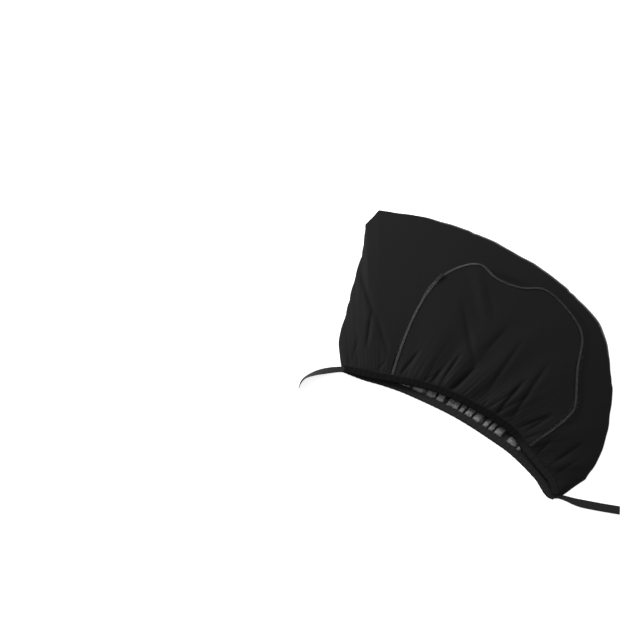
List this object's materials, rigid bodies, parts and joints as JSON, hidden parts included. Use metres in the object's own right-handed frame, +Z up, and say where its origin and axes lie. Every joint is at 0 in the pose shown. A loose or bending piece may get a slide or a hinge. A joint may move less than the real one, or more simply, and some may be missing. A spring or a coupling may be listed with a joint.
{
  "type": "car side window sunshade",
  "caption": "Double-layer sock sunshade for a rear side window: gathered dark cloth with a zipped flap over see-through mesh, elastic hems and corner straps.",
  "frame": {"origin": "middle of the part's box in plan, on the surface that it lies on", "axes": "+X along the mouth, +Y towards the top of the window, +Z up, out of the gathered front layer"},
  "size_m": [0.9128, 0.6532, 0.0219],
  "materials": {
    "front_cloth": "smooth knitted cloth with a soft sheen",
    "mesh_cloth": "fine see-through mesh",
    "hem_band": "ribbed stretch band",
    "elastic": "matt flat elastic",
    "zip_tape": "woven tape",
    "zip_coil": "moulded nylon coil",
    "slider_paint": "dark painted die casting",
    "strap_webbing": "ribbed hook and loop webbing"
  },
  "bodies": {
    "shade": {"rear_mesh_panel": "mesh_cloth", "front_surround_panel": "front_cloth", "front_flap_panel": "front_cloth", "front_hem_casing": "hem_band", "front_hem_elastic": "elastic", "rear_hem_casing": "hem_band", "rear_hem_elastic": "elastic", "zip_tape_outer": "zip_tape", "zip_tape_inner": "zip_tape", "zip_coil_outer": "zip_coil", "zip_coil_inner": "zip_coil", "zip_slider": "slider_paint", "strap_left": "strap_webbing", "strap_right": "strap_webbing"},
    "pull_tab": {"zip_pull_tab": "slider_paint"}
  },
  "joints": [
    {"name": "pull_tab_hinge", "type": "hinge", "parent": "shade", "child": "pull_tab", "pos_m": [-0.19736, 0.1443, 0.01692], "axis": [-0.9792, 0.2027, 0], "range_deg": [0, 170]}
  ]
}
